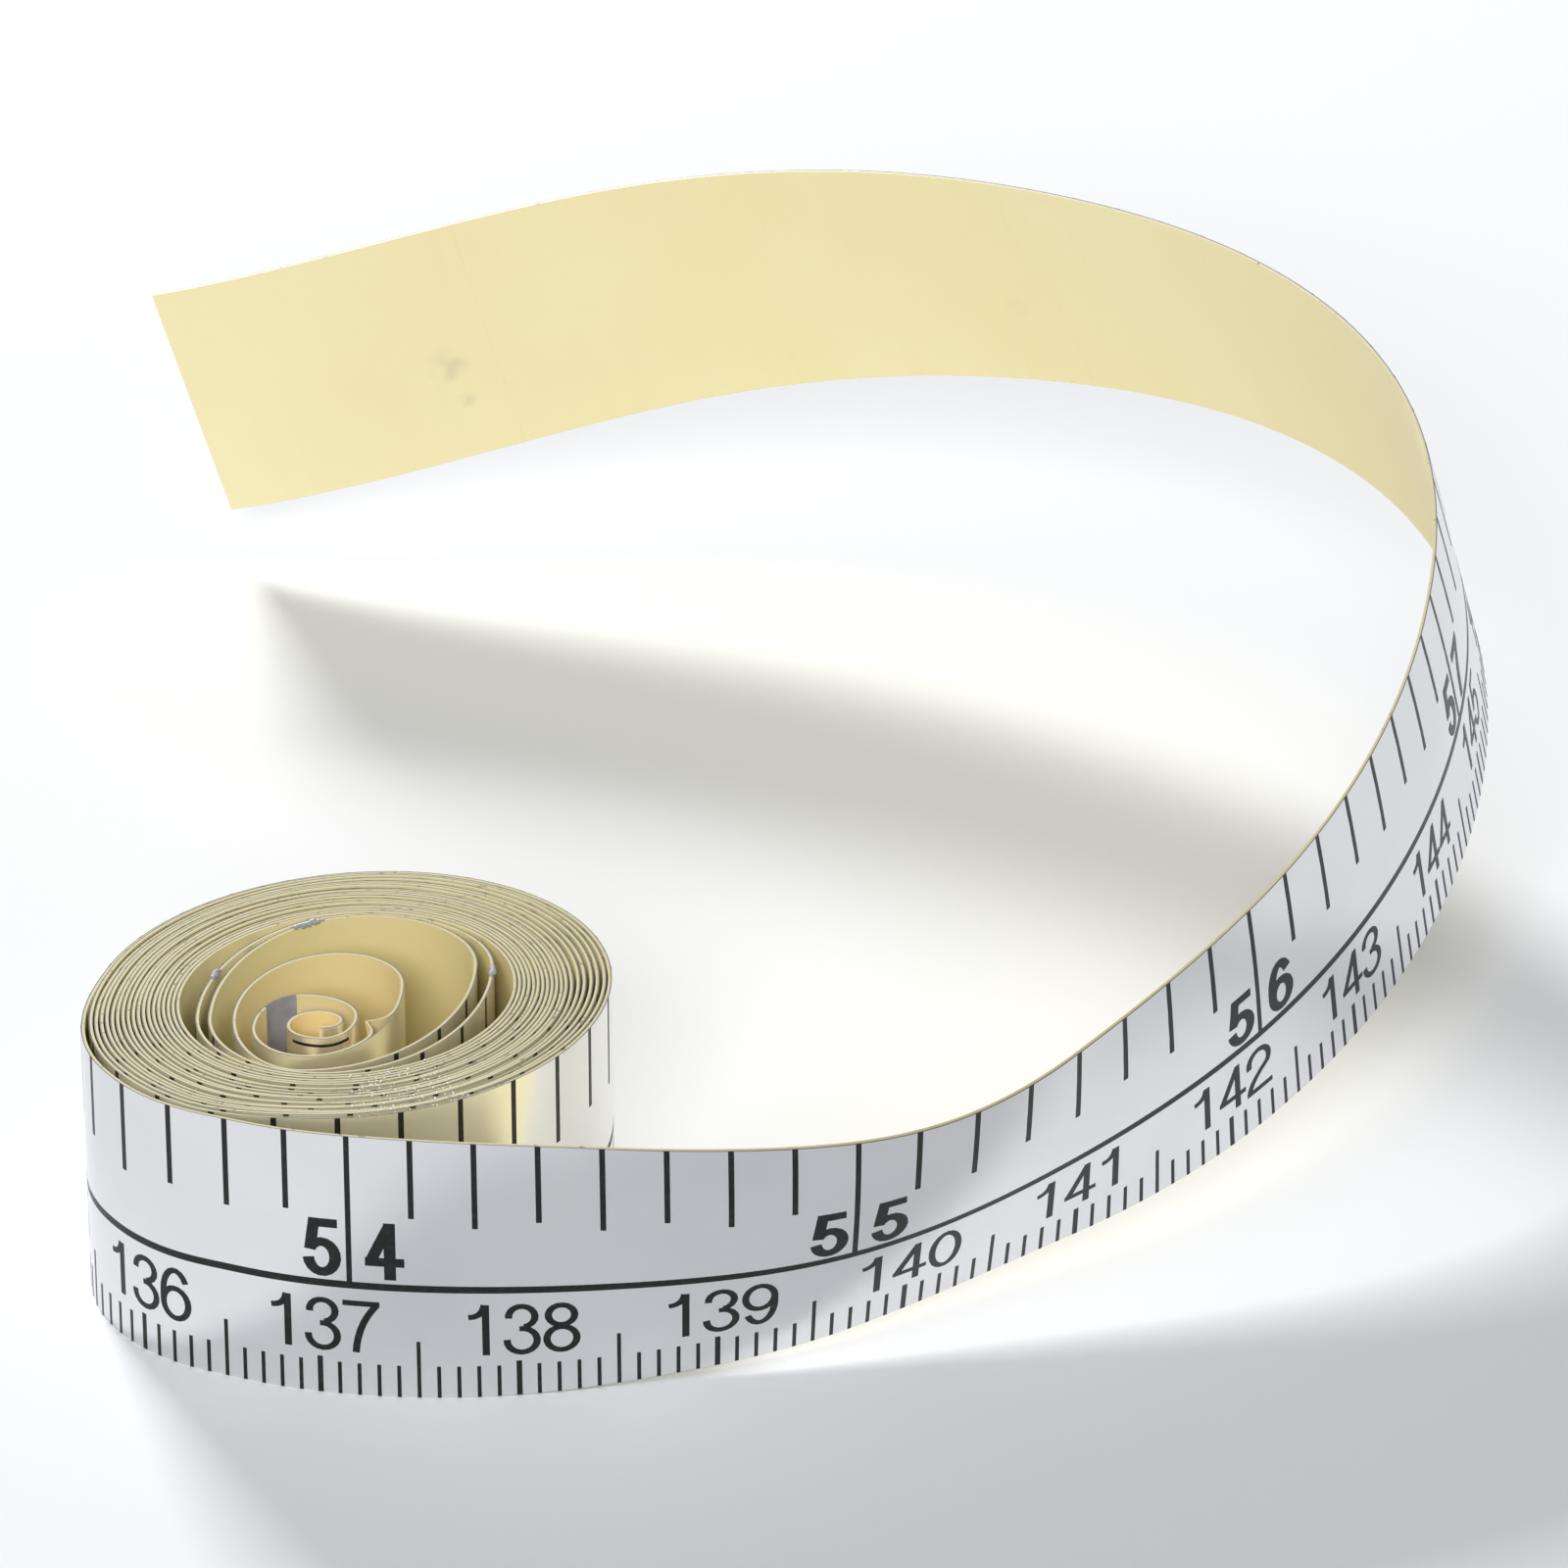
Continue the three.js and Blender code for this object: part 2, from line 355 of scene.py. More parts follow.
def calc(tree, operation, *values):
    """One sum on numbers."""
    return put(tree, "ShaderNodeMath", values, operation=operation).outputs[0]


def scaled(tree, vector, factor):
    """A vector times a number."""
    return put(tree, "ShaderNodeVectorMath", {0: vector, "Scale": factor}, operation="SCALE").outputs[0]


def added(tree, first, second):
    """The sum of two vectors."""
    return put(tree, "ShaderNodeVectorMath", (first, second), operation="ADD").outputs[0]


def packed(tree, x, y, z):
    """A vector from three numbers."""
    return put(tree, "ShaderNodeCombineXYZ", (x, y, z)).outputs[0]


node_helpers = (new_tree, put, calc, scaled, added, packed)
print("to write trees with:", ", ".join(helper.__name__ for helper in node_helpers))


# %% Build the group that lays a flat layer on the path
def build_lay():
    tree, given, result = new_tree("lay_on_path", {"Flat": "Geometry", "Path": "Object"})
    where = put(tree, "GeometryNodeInputPosition").outputs[0]
    flat = put(tree, "ShaderNodeSeparateXYZ", [where]).outputs
    line = put(tree, "GeometryNodeObjectInfo", {"Object": given["Path"]}).outputs["Geometry"]
    count = calc(tree, "DIVIDE", calc(tree, "SUBTRACT", flat[0], INNER_END * MM), PATH_STEP * MM)
    lower = calc(tree, "FLOOR", count)
    share = calc(tree, "SUBTRACT", count, lower)

    def looked_up(value):
        ends = []
        for index in (lower, calc(tree, "ADD", lower, 1.0)):
            inputs = {"Geometry": line, "Value": value, "Index": index}
            node = put(tree, "GeometryNodeSampleIndex", inputs, data_type="FLOAT_VECTOR", clamp=True)
            ends.append(node.outputs[0])
        keep = calc(tree, "SUBTRACT", 1.0, share)
        return added(tree, scaled(tree, ends[0], keep), scaled(tree, ends[1], share))

    def named(label):
        inputs = {"Name": label}
        return put(tree, "GeometryNodeInputNamedAttribute", inputs, data_type="FLOAT_VECTOR").outputs[0]

    rise = scaled(tree, looked_up(named("out")), flat[2])
    height = scaled(tree, looked_up(named("across")), flat[1])
    above = calc(tree, "MAXIMUM", calc(tree, "DIVIDE", flat[1], WIDTH / 2 * MM), 0.0)
    bowed = scaled(tree, looked_up(named("bow")), calc(tree, "MULTIPLY", above, above))
    laid = added(tree, added(tree, looked_up(where), bowed), added(tree, rise, height))
    moved = put(tree, "GeometryNodeSetPosition", {"Geometry": given["Flat"], "Position": laid})
    tree.links.new(moved.outputs[0], result[0])
    return tree


lay_on_path = build_lay()
print("lay_on_path:", len(lay_on_path.nodes), "nodes")

# %% [markdown]
# ## A layer of the tape
# Film, adhesive and liner are the same thing at three depths: a long, thin, closed box, cut into short steps
# so that it can bend. Its corners stay sharp and the rest is shaded smooth. The flat place of each point is
# kept as a UV map called tape, so a finish can follow the strip round every bend.

# %% Make a flat layer and lay it down
SHARP_ANGLE = 0.8
LAYER_SOCKETS = {
    "Path": "Object", "From": "Float", "To": "Float", "Width": "Float", "Depth": "Float",
    "Thickness": "Float", "Height": "Float", "Steps": "Int", "Rows": "Int", "Finish": "Material",
}


def flat_box(tree, given):
    """The flat layer, from one place on the scale to another."""
    length = calc(tree, "SUBTRACT", given["To"], given["From"])
    size = packed(tree, length, given["Width"], given["Thickness"])
    inputs = {"Size": size, "Vertices X": given["Steps"], "Vertices Y": given["Rows"]}
    box = put(tree, "GeometryNodeMeshCube", inputs).outputs[0]
    middle = calc(tree, "MULTIPLY", calc(tree, "ADD", given["To"], given["From"]), 0.5)
    face = calc(tree, "MULTIPLY", given["Depth"], -1.0)
    core = calc(tree, "MULTIPLY_ADD", given["Thickness"], -0.5, face)
    place = packed(tree, middle, given["Height"], core)
    box = put(tree, "GeometryNodeTransform", {"Geometry": box, "Translation": place})
    smooth = put(tree, "GeometryNodeSetShadeSmooth", {0: box.outputs[0], "Shade Smooth": True})
    angle = put(tree, "GeometryNodeInputMeshEdgeAngle").outputs[0]
    corner = calc(tree, "GREATER_THAN", angle, SHARP_ANGLE)
    inputs = {0: smooth.outputs[0], "Selection": corner, "Shade Smooth": False}
    return put(tree, "GeometryNodeSetShadeSmooth", inputs, domain="EDGE").outputs[0]


def laid_down(tree, given, result, flat):
    """Keeps the flat places as a UV map, lays the geometry on the path and gives it its finish."""
    where = put(tree, "GeometryNodeInputPosition").outputs[0]
    inputs = {"Geometry": flat, "Name": "tape", "Value": where}
    mapped = put(tree, "GeometryNodeStoreNamedAttribute", inputs, data_type="FLOAT2", domain="CORNER")
    inputs = {"Flat": mapped.outputs[0], "Path": given["Path"]}
    lay = put(tree, "GeometryNodeGroup", inputs, node_tree=lay_on_path)
    solid = put(tree, "GeometryNodeRealizeInstances", [lay.outputs[0]]).outputs[0]
    inputs = {"Geometry": solid, "Material": given["Finish"]}
    done = put(tree, "GeometryNodeSetMaterial", inputs).outputs[0]
    if "Ink" in given:
        printed = put(tree, "GeometryNodeInputNamedAttribute", {"Name": "printed"}, data_type="BOOLEAN")
        inputs = {"Geometry": done, "Selection": printed.outputs[0], "Material": given["Ink"]}
        done = put(tree, "GeometryNodeSetMaterial", inputs).outputs[0]
    tree.links.new(done, result[0])


print("inputs of a layer:", ", ".join(LAYER_SOCKETS))

# %% [markdown]
# Near the inner end the liner has lifted off in one narrow fold. It could be a piece of its own, but then the
# paper would show two seams. So the tree of a plain layer makes it on demand, by lifting the points near one
# place: most at the upper edge, and not at all below the middle of the tape.

# %% Build the tree for a plain layer
FOLD_HALF = 0.6
FOLD_SHARPNESS = 1.4
FOLD_FOOT = 1.0


def creased(tree, given, flat):
    """Lifts the upper part of a layer off the film in one narrow fold."""
    position = put(tree, "GeometryNodeInputPosition").outputs[0]
    where = put(tree, "ShaderNodeSeparateXYZ", [position]).outputs
    away = calc(tree, "DIVIDE", calc(tree, "SUBTRACT", where[0], given["Crease"]), FOLD_HALF * MM)
    steep = calc(tree, "POWER", calc(tree, "ABSOLUTE", away), FOLD_SHARPNESS)
    fold = calc(tree, "POWER", math.e, calc(tree, "MULTIPLY", steep, -1.0))
    inputs = {"Value": where[1], "From Min": FOLD_FOOT * MM, "From Max": WIDTH / 2 * MM}
    upper = put(tree, "ShaderNodeMapRange", inputs, interpolation_type="SMOOTHSTEP").outputs[0]
    lift = calc(tree, "MULTIPLY", calc(tree, "MULTIPLY", fold, upper), given["Crease Lift"])
    offset = packed(tree, 0.0, 0.0, calc(tree, "MULTIPLY", lift, -1.0))
    return put(tree, "GeometryNodeSetPosition", {"Geometry": flat, "Offset": offset}).outputs[0]


def build_layer():
    sockets = {**LAYER_SOCKETS, "Crease": "Float", "Crease Lift": "Float"}
    tree, given, result = new_tree("tape_layer", sockets)
    laid_down(tree, given, result, creased(tree, given, flat_box(tree, given)))
    return tree


tape_layer = build_layer()
print("tape_layer:", len(tape_layer.nodes), "nodes")

# %% [markdown]
# ## Digits
# The scales have plain grotesque figures, bold for the inches and lighter for the centimetres. A text object
# would be the usual way, but Blender's own font has other shapes. So each figure is drawn with a broad pen:
# arcs and lines in a box one unit high, inset by half the pen's width. The same strokes give both weights.

# %% Draw curves for the pen
def arc(centre_x, centre_y, radius_x, radius_y, start, stop, steps=14):
    """Points on an ellipse, between two angles in degrees."""
    angles = np.radians(np.linspace(start, stop, steps))
    return [(centre_x + radius_x * math.cos(a), centre_y + radius_y * math.sin(a)) for a in angles]


def swoop(start, pull, stop, steps=8):
    """Points on a curve that leaves start towards pull and ends in stop."""
    start, pull, stop = np.array(start), np.array(pull), np.array(stop)
    shares = np.linspace(0, 1, steps)
    return [tuple((1 - t) ** 2 * start + 2 * t * (1 - t) * pull + t**2 * stop) for t in shares]


print("points of a quarter arc:", len(arc(0, 0, 1, 1, 0, 90)))


# %% Draw the strokes of the ten digits
def digit_strokes(digit, box, upright, level):
    """The strokes of one digit in a box of this width and unit height, for a pen with these two widths."""
    half, flat = upright / 2, level / 2
    mid, wide = box / 2, box / 2 - half
    if digit == 1:
        stem = mid + 0.06
        return [[(stem, 0), (stem, 1)], swoop((mid - 0.225, 0.755), (stem - 0.05, 0.76), (stem - 0.02, 1.0))]
    if digit == 2:
        bowl = arc(mid, 0.705, wide, 0.31 - flat, 195, -32, 14)
        return [bowl + swoop(bowl[-1], (half, 0.30), (half, flat), 6)[1:], [(0.0, flat), (box, flat)]]
    if digit == 3:
        upper = arc(mid, 0.755, wide - 0.03, 0.26 - flat, 188, -80)
        return [upper, arc(mid, 0.275, wide, 0.29 - flat, 100, -185, 16)]
    if digit == 4:
        stem, bar = box - 0.13 - half, 0.235 + flat
        slope = [(0.9 * half, bar), (stem - 0.1 * half, 1 - 0.8 * flat)]
        return [[(stem, 0), (stem, 1)], [(0, bar), (box, bar)], slope]
    if digit == 5:
        flag = [(box - 0.05, 1 - flat), (0.16 * box + half, 1 - flat), (0.05 * box + half, 0.44)]
        return [flag, arc(mid, 0.325, wide, 0.34 - flat, 148, -175, 18)]
    if digit in (6, 9):
        hook = arc(mid, 0.50, wide, 0.515 - flat, 33, 180, 10) + [(half, 0.325)]
        strokes = [arc(mid, 0.325, wide, 0.34 - flat, 0, 360, 20), hook]
        return strokes if digit == 6 else [[(box - x, 1 - y) for x, y in stroke] for stroke in strokes]
    if digit == 7:
        slope = swoop((box - 0.9 * half, 1 - 1.5 * flat), (0.40 * box, 0.55), (0.34 * box, 0))
        return [[(0, 1 - flat), (box, 1 - flat)], slope]
    if digit == 8:
        upper = arc(mid, 0.76, wide - 0.03, 0.255 - flat, 0, 360, 18)
        return [upper, arc(mid, 0.275, wide, 0.29 - flat, 0, 360, 20)]
    return [arc(mid, 0.5, wide, 0.515 - flat, 0, 360, 22)]


BOLD_PEN = (0.60, 0.18, 0.15)
LIGHT_PEN = (0.62, 0.122, 0.10)
print("strokes of each bold digit:", [len(digit_strokes(digit, *BOLD_PEN)) for digit in range(10)])

# %% [markdown]
# A stroke is only a line of points, so it now gets the pen's width, with a mitre at each corner, and a
# thickness of one unit. Long straight parts are divided first, because the digits bend with the tape.

# %% Give the strokes their width and thickness
def stepped(stroke, longest=0.2):
    """The stroke with its long straight parts divided, so that they can follow a twisted tape."""
    points = [stroke[0]]
    for start, stop in zip(np.array(stroke), np.array(stroke[1:])):
        parts = max(1, round(math.dist(start, stop) / longest))
        points += [start + (stop - start) * part / parts for part in range(1, parts + 1)]
    return np.array(points, float)


def pen_mesh(name, strokes, upright, level):
    """Strokes of a flat pen as thin closed solids, one unit thick."""
    vertices, faces = [], []
    for stroke in strokes:
        line = stepped(stroke)
        closed = np.allclose(line[0], line[-1])
        line = line[:-1] if closed else line
        ahead, behind = np.roll(line, -1, axis=0) - line, line - np.roll(line, 1, axis=0)
        if not closed:
            ahead[-1], behind[0] = behind[-1], ahead[0]
        ahead /= np.linalg.norm(ahead, axis=1, keepdims=True)
        behind /= np.linalg.norm(behind, axis=1, keepdims=True)
        mitre = (ahead + behind) / np.linalg.norm(ahead + behind, axis=1, keepdims=True)
        stretch = 1 / np.clip((mitre * ahead).sum(axis=1), 0.5, 1)
        side = np.stack([-mitre[:, 1] * upright / 2, mitre[:, 0] * level / 2], axis=1) * stretch[:, None]
        base, count = len(vertices), len(line)
        for point, offset in zip(line, side):
            for height in (0.0, 1.0):
                vertices += [(*(point + offset), height), (*(point - offset), height)]
        for index in range(count if closed else count - 1):
            a, b = base + 4 * index, base + 4 * ((index + 1) % count)
            faces += [(a + 2, a + 3, b + 3, b + 2), (a + 1, a, b, b + 1)]
            faces += [(a, a + 2, b + 2, b), (a + 3, a + 1, b + 1, b + 3)]
        if not closed:
            last = base + 4 * (count - 1)
            faces += [(base, base + 1, base + 3, base + 2), (last + 2, last + 3, last + 1, last)]
    mesh = bpy.data.meshes.new(name)
    mesh.from_pydata(vertices, [], faces)
    return mesh


print("points of the stem of a bold 1:", len(stepped(digit_strokes(1, *BOLD_PEN)[0])))


# %% Make both sets of digits
def digit_set(name, box, upright, level):
    """A collection with the ten digits, each centred on its foot."""
    digits = bpy.data.collections.new(name)
    for digit in range(10):
        strokes = digit_strokes(digit, box, upright, level)
        centred = [[(x - box / 2, y) for x, y in stroke] for stroke in strokes]
        mesh = pen_mesh(f"{name}_{digit}", centred, upright, level)
        digits.objects.link(bpy.data.objects.new(f"{name}_{digit}", mesh))
    return digits


inch_digits = digit_set("inch_digit", *BOLD_PEN)
centimetre_digits = digit_set("centimetre_digit", *LIGHT_PEN)

# %% [markdown]
# ## Ruled marks and numbers
# A row of ticks is one tick on each point of an evenly spaced line. The tick's number on the line says how
# long and how broad it is: inch, quarter and eighth on the upper edge, and centimetre, half and millimetre on
# the lower one. Numbers are placed in the same way, one decimal place at a time, by picking a digit.

# %% Place points along a scale
INK = 0.012
SUNK = 0.02
NEARLY = 0.001


def counted_line(tree, given, height):
    """Points at each spacing between two places, and the number that each one carries."""
    ends = []
    for place in (given["From"], given["To"]):
        spacings = calc(tree, "DIVIDE", place, given["Spacing"])
        ends.append(calc(tree, "CEIL", calc(tree, "SUBTRACT", spacings, NEARLY)))
    first, after = ends
    start = packed(tree, calc(tree, "MULTIPLY", first, given["Spacing"]), height, -SUNK * MM)
    inputs = {
        "Count": calc(tree, "SUBTRACT", after, first),
        "Start Location": start,
        "Offset": packed(tree, given["Spacing"], 0.0, 0.0),
    }
    line = put(tree, "GeometryNodeMeshLine", inputs, mode="OFFSET").outputs[0]
    number = calc(tree, "ADD", put(tree, "GeometryNodeInputIndex").outputs[0], first)
    return line, number


print("print: stands", INK, "mm above the film and reaches", SUNK, "mm into it")

# %% Build the group for a row of ticks
TICK_SOCKETS = {
    "From": "Float", "To": "Float", "Rows": "Int", "Spacing": "Float", "Edge": "Float", "Turn": "Float",
    "Length": "Float", "Breadth": "Float", "Half Every": "Float", "Half Length": "Float",
    "Full Every": "Float", "Full Length": "Float", "Full Breadth": "Float",
}


def each(tree, number, every, then, otherwise):
    """One value on each number that can be divided by every, and another on the rest."""
    hit = calc(tree, "LESS_THAN", calc(tree, "MODULO", calc(tree, "ADD", number, 0.01), every), 0.5)
    return put(tree, "GeometryNodeSwitch", (hit, otherwise, then), input_type="FLOAT").outputs[0]


def build_ticks():
    tree, given, result = new_tree("row_of_ticks", TICK_SOCKETS)
    line, number = counted_line(tree, given, given["Edge"])
    length = each(tree, number, given["Half Every"], given["Half Length"], given["Length"])
    length = each(tree, number, given["Full Every"], given["Full Length"], length)
    breadth = each(tree, number, given["Full Every"], given["Full Breadth"], given["Breadth"])
    tick = put(tree, "GeometryNodeMeshCube", {"Vertices Y": given["Rows"]}).outputs[0]
    tick = put(tree, "GeometryNodeTransform", {"Geometry": tick, "Translation": (0.0, 0.5, 0.5)}).outputs[0]
    inputs = {
        "Points": line, "Instance": tick, "Rotation": packed(tree, 0.0, 0.0, given["Turn"]),
        "Scale": packed(tree, breadth, length, (INK + SUNK) * MM),
    }
    ticks = put(tree, "GeometryNodeInstanceOnPoints", inputs).outputs[0]
    tree.links.new(put(tree, "GeometryNodeRealizeInstances", [ticks]).outputs[0], result[0])
    return tree


row_of_ticks = build_ticks()
print("row_of_ticks:", len(row_of_ticks.nodes), "nodes")

# %% Build the group for one decimal place of the numbers
NUMBER_SOCKETS = {
    "From": "Float", "To": "Float", "Spacing": "Float", "Digits": "Collection", "Place": "Float",
    "Column": "Float", "Fewest": "Float", "Advance": "Float", "Shift": "Float", "Foot": "Float",
    "Height": "Float",
}


def build_numbers():
    tree, given, result = new_tree("numbers_place", NUMBER_SOCKETS)
    line, number = counted_line(tree, given, given["Foot"])
    number = calc(tree, "ADD", number, 0.01)
    tens = calc(tree, "GREATER_THAN", number, 10.0)
    hundreds = calc(tree, "GREATER_THAN", number, 100.0)
    written = calc(tree, "ADD", calc(tree, "ADD", tens, hundreds), 1.0)
    columns = calc(tree, "MAXIMUM", written, given["Fewest"])
    centre = calc(tree, "MULTIPLY", calc(tree, "SUBTRACT", columns, 1.0), 0.5)
    aside = calc(tree, "MULTIPLY", calc(tree, "SUBTRACT", centre, given["Column"]), given["Advance"])
    offset = packed(tree, calc(tree, "ADD", aside, given["Shift"]), 0.0, 0.0)
    upper_part = calc(tree, "FLOOR", calc(tree, "DIVIDE", number, given["Place"]))
    digit = calc(tree, "FLOOR", calc(tree, "MODULO", upper_part, 10.0))
    missing = calc(tree, "LESS_THAN", number, given["Place"])
    info = {"Collection": given["Digits"], "Separate Children": True, "Reset Children": True}
    inputs = {
        "Points": put(tree, "GeometryNodeSetPosition", {"Geometry": line, "Offset": offset}).outputs[0],
        "Selection": calc(tree, "SUBTRACT", 1.0, missing),
        "Instance": put(tree, "GeometryNodeCollectionInfo", info).outputs[0],
        "Pick Instance": True,
        "Instance Index": digit,
        "Scale": packed(tree, given["Height"], given["Height"], (INK + SUNK) * MM),
    }
    digits = put(tree, "GeometryNodeInstanceOnPoints", inputs).outputs[0]
    tree.links.new(put(tree, "GeometryNodeRealizeInstances", [digits]).outputs[0], result[0])
    return tree


numbers_place = build_numbers()
print("numbers_place:", len(numbers_place.nodes), "nodes")

# %% [markdown]
# ## The printed film
# The film's tree joins the plain layer with its print: the line between the two scales, both rows of ticks
# and the numbers of both scales. The inch numbers stand on that line, one digit on each side of the inch
# mark, and the centimetre numbers hang under it, each over its own tick. Both scales start at zero, and the
# first few centimetres before it are blank. The print could be a picture on the film. As thin solids it stays
# sharp at any distance, and each inch of the run takes its own marks along when it bends.

# %% Set out both scales
DIVIDER = -1.08
DIVIDER_BREADTH = 0.4
PRINT_MARGIN = 0.02
INCH_TICKS = {
    "Spacing": INCH / 8 * MM, "Edge": WIDTH / 2 * MM, "Turn": math.pi,
    "Length": 4.5 * MM, "Breadth": 0.29 * MM, "Half Every": 2.0, "Half Length": 4.95 * MM,
    "Full Every": 8.0, "Full Length": (WIDTH / 2 - DIVIDER) * MM, "Full Breadth": 0.28 * MM,
}
MILLIMETRE_TICKS = {
    "Spacing": 1.0 * MM, "Edge": -WIDTH / 2 * MM, "Turn": 0.0,
    "Length": 1.85 * MM, "Breadth": 0.2 * MM, "Half Every": 5.0, "Half Length": 3.3 * MM,
    "Full Every": 10.0, "Full Length": 2.1 * MM, "Full Breadth": 0.28 * MM,
}
INCH_NUMBERS = {
    "Spacing": INCH * MM, "Digits": inch_digits, "Fewest": 2.0, "Advance": 3.18 * MM, "Shift": 0.21 * MM,
    "Foot": -0.65 * MM, "Height": 3.3 * MM,
}
CENTIMETRE_NUMBERS = {
    "Spacing": 10 * MM, "Digits": centimetre_digits, "Fewest": 1.0, "Advance": 1.98 * MM, "Shift": 0.17 * MM,
    "Foot": -5.0 * MM, "Height": 3.02 * MM,
}
print("scales: the line between them lies", DIVIDER, "mm from the middle of the tape")

# %% Build the tree for the printed film
def print_groups(tree, given, start):
    """Both rows of ticks and the decimal places of both rows of numbers."""
    stretch = {"From": start, "To": given["To"]}
    rows = [(row_of_ticks, {**ticks, "Rows": given["Rows"]}) for ticks in (INCH_TICKS, MILLIMETRE_TICKS)]
    for numbers, columns in ((INCH_NUMBERS, 2), (CENTIMETRE_NUMBERS, 3)):
        for column in range(columns):
            rows.append((numbers_place, {**numbers, "Column": float(column), "Place": 10.0**column}))
    groups = []
    for kind, values in rows:
        groups.append(put(tree, "GeometryNodeGroup", {**values, **stretch}, node_tree=kind).outputs[0])
    return groups


def divider_line(tree, given, start):
    """The line between the two scales."""
    length = calc(tree, "SUBTRACT", given["To"], start)
    middle = calc(tree, "MULTIPLY", calc(tree, "ADD", given["To"], start), 0.5)
    size = packed(tree, length, DIVIDER_BREADTH * MM, (INK + SUNK) * MM)
    line = put(tree, "GeometryNodeMeshCube", {"Size": size, "Vertices X": given["Steps"]}).outputs[0]
    place = packed(tree, middle, DIVIDER * MM, (INK - SUNK) / 2 * MM)
    return put(tree, "GeometryNodeTransform", {"Geometry": line, "Translation": place}).outputs[0]


def build_film():
    tree, given, result = new_tree("printed_film", {**LAYER_SOCKETS, "Ink": "Material"})
    start = calc(tree, "MAXIMUM", given["From"], 0.0)
    printed = print_groups(tree, given, start) + [divider_line(tree, given, start)]
    ink = put(tree, "GeometryNodeJoinGeometry", [printed]).outputs[0]
    position = put(tree, "GeometryNodeInputPosition").outputs[0]
    where = put(tree, "ShaderNodeSeparateXYZ", [position]).outputs
    along = calc(tree, "MINIMUM", where[0], (CUT_END - PRINT_MARGIN) * MM)
    inputs = {"Geometry": ink, "Position": packed(tree, along, where[1], where[2])}
    ink = put(tree, "GeometryNodeSetPosition", inputs).outputs[0]
    inputs = {"Geometry": ink, "Name": "printed", "Value": True}
    ink = put(tree, "GeometryNodeStoreNamedAttribute", inputs, data_type="BOOLEAN", domain="FACE").outputs[0]
    film = flat_box(tree, given)
    laid_down(tree, given, result, put(tree, "GeometryNodeJoinGeometry", [[film, ink]]).outputs[0])
    return tree


printed_film = build_film()
print("printed_film:", len(printed_film.nodes), "nodes")

# %% [markdown]
# ## Finishes
# Patterns could be painted on a picture, but the tape is over a hundred times as long as it is wide. So all
# of them are noise that reads the tape map, in millimetres, and follows the strip. A few short functions make
# such noise, spread it, and mix colours with it.

# %% Short ways to write finishes
EDGE_MARGIN = 0.004


def new_finish(name, roughness=0.5):
    """A material, its node tree and its shader's inputs."""
    material = bpy.data.materials.new(name)
    material.use_nodes = True
    shader = material.node_tree.nodes["Principled BSDF"].inputs
    shader["Roughness"].default_value = roughness
    return material, material.node_tree, shader


def tape_place(tree):
    """The tape map in millimetres, as a vector."""
    place = put(tree, "ShaderNodeUVMap", uv_map="tape").outputs[0]
    return scaled(tree, place, 1 / MM)


def speckle(tree, place, size, detail=3.0, stretch=(1.0, 1.0, 1.0)):
    """Noise with features of about this size in millimetres."""
    place = put(tree, "ShaderNodeMapping", {"Vector": place, "Scale": stretch}).outputs[0]
    return put(tree, "ShaderNodeTexNoise", {"Vector": place, "Scale": 1 / size, "Detail": detail}).outputs[0]


def ramp(tree, value, low, high):
    """The value spread so that low becomes 0 and high becomes 1."""
    inputs = {"Value": value, "From Min": low, "From Max": high}
    return put(tree, "ShaderNodeMapRange", inputs, interpolation_type="SMOOTHSTEP").outputs[0]


def mixed(tree, share, first, second):
    """One colour mixed into another."""
    node = put(tree, "ShaderNodeMix", {0: share, 6: first, 7: second}, data_type="RGBA")
    return node.outputs[2]


def on_edge(tree, place):
    """1 on the cut edges of a layer and 0 on its faces."""
    height = put(tree, "ShaderNodeSeparateXYZ", [place]).outputs[1]
    return calc(tree, "GREATER_THAN", calc(tree, "ABSOLUTE", height), WIDTH / 2 - EDGE_MARGIN)


finish_helpers = (new_finish, tape_place, speckle, ramp, mixed, on_edge)
print("to write finishes with:", ", ".join(helper.__name__ for helper in finish_helpers))

# %% [markdown]
# The film is polyester with a metal coat: it mirrors its surroundings softly, and its cut edges are dull and
# dark. Pure metal would show nothing but its surroundings, so the faces are metal only in part, and a fine
# grain breaks up what they mirror.

# %% Make the silver film
METAL_SHARE = 0.8


def make_silver_film():
    material, tree, shader = new_finish("silver_film")
    place = tape_place(tree)
    edge = on_edge(tree, place)
    cloud = ramp(tree, speckle(tree, place, 9.0), 0.3, 0.7)
    colour = mixed(tree, cloud, (0.735, 0.742, 0.76, 1), (0.775, 0.78, 0.795, 1))
    tree.links.new(mixed(tree, edge, colour, (0.11, 0.095, 0.05, 1)), shader["Base Color"])
    tree.links.new(calc(tree, "MULTIPLY_ADD", edge, -METAL_SHARE, METAL_SHARE), shader["Metallic"])
    tree.links.new(calc(tree, "MULTIPLY_ADD", edge, 0.4, 0.2), shader["Roughness"])
    grain = speckle(tree, place, 0.6, 2.0)
    bump = put(tree, "ShaderNodeBump", {"Height": grain, "Strength": 0.12, "Distance": 0.00002})
    tree.links.new(bump.outputs[0], shader["Normal"])
    return material


silver_film = make_silver_film()
print(silver_film.name, len(silver_film.node_tree.nodes), "nodes")

# %% [markdown]
# The print is black ink, a little thinner and duller in places, where the rollers left less of it. The
# adhesive is a clear coat through which the grey back of the film shows.

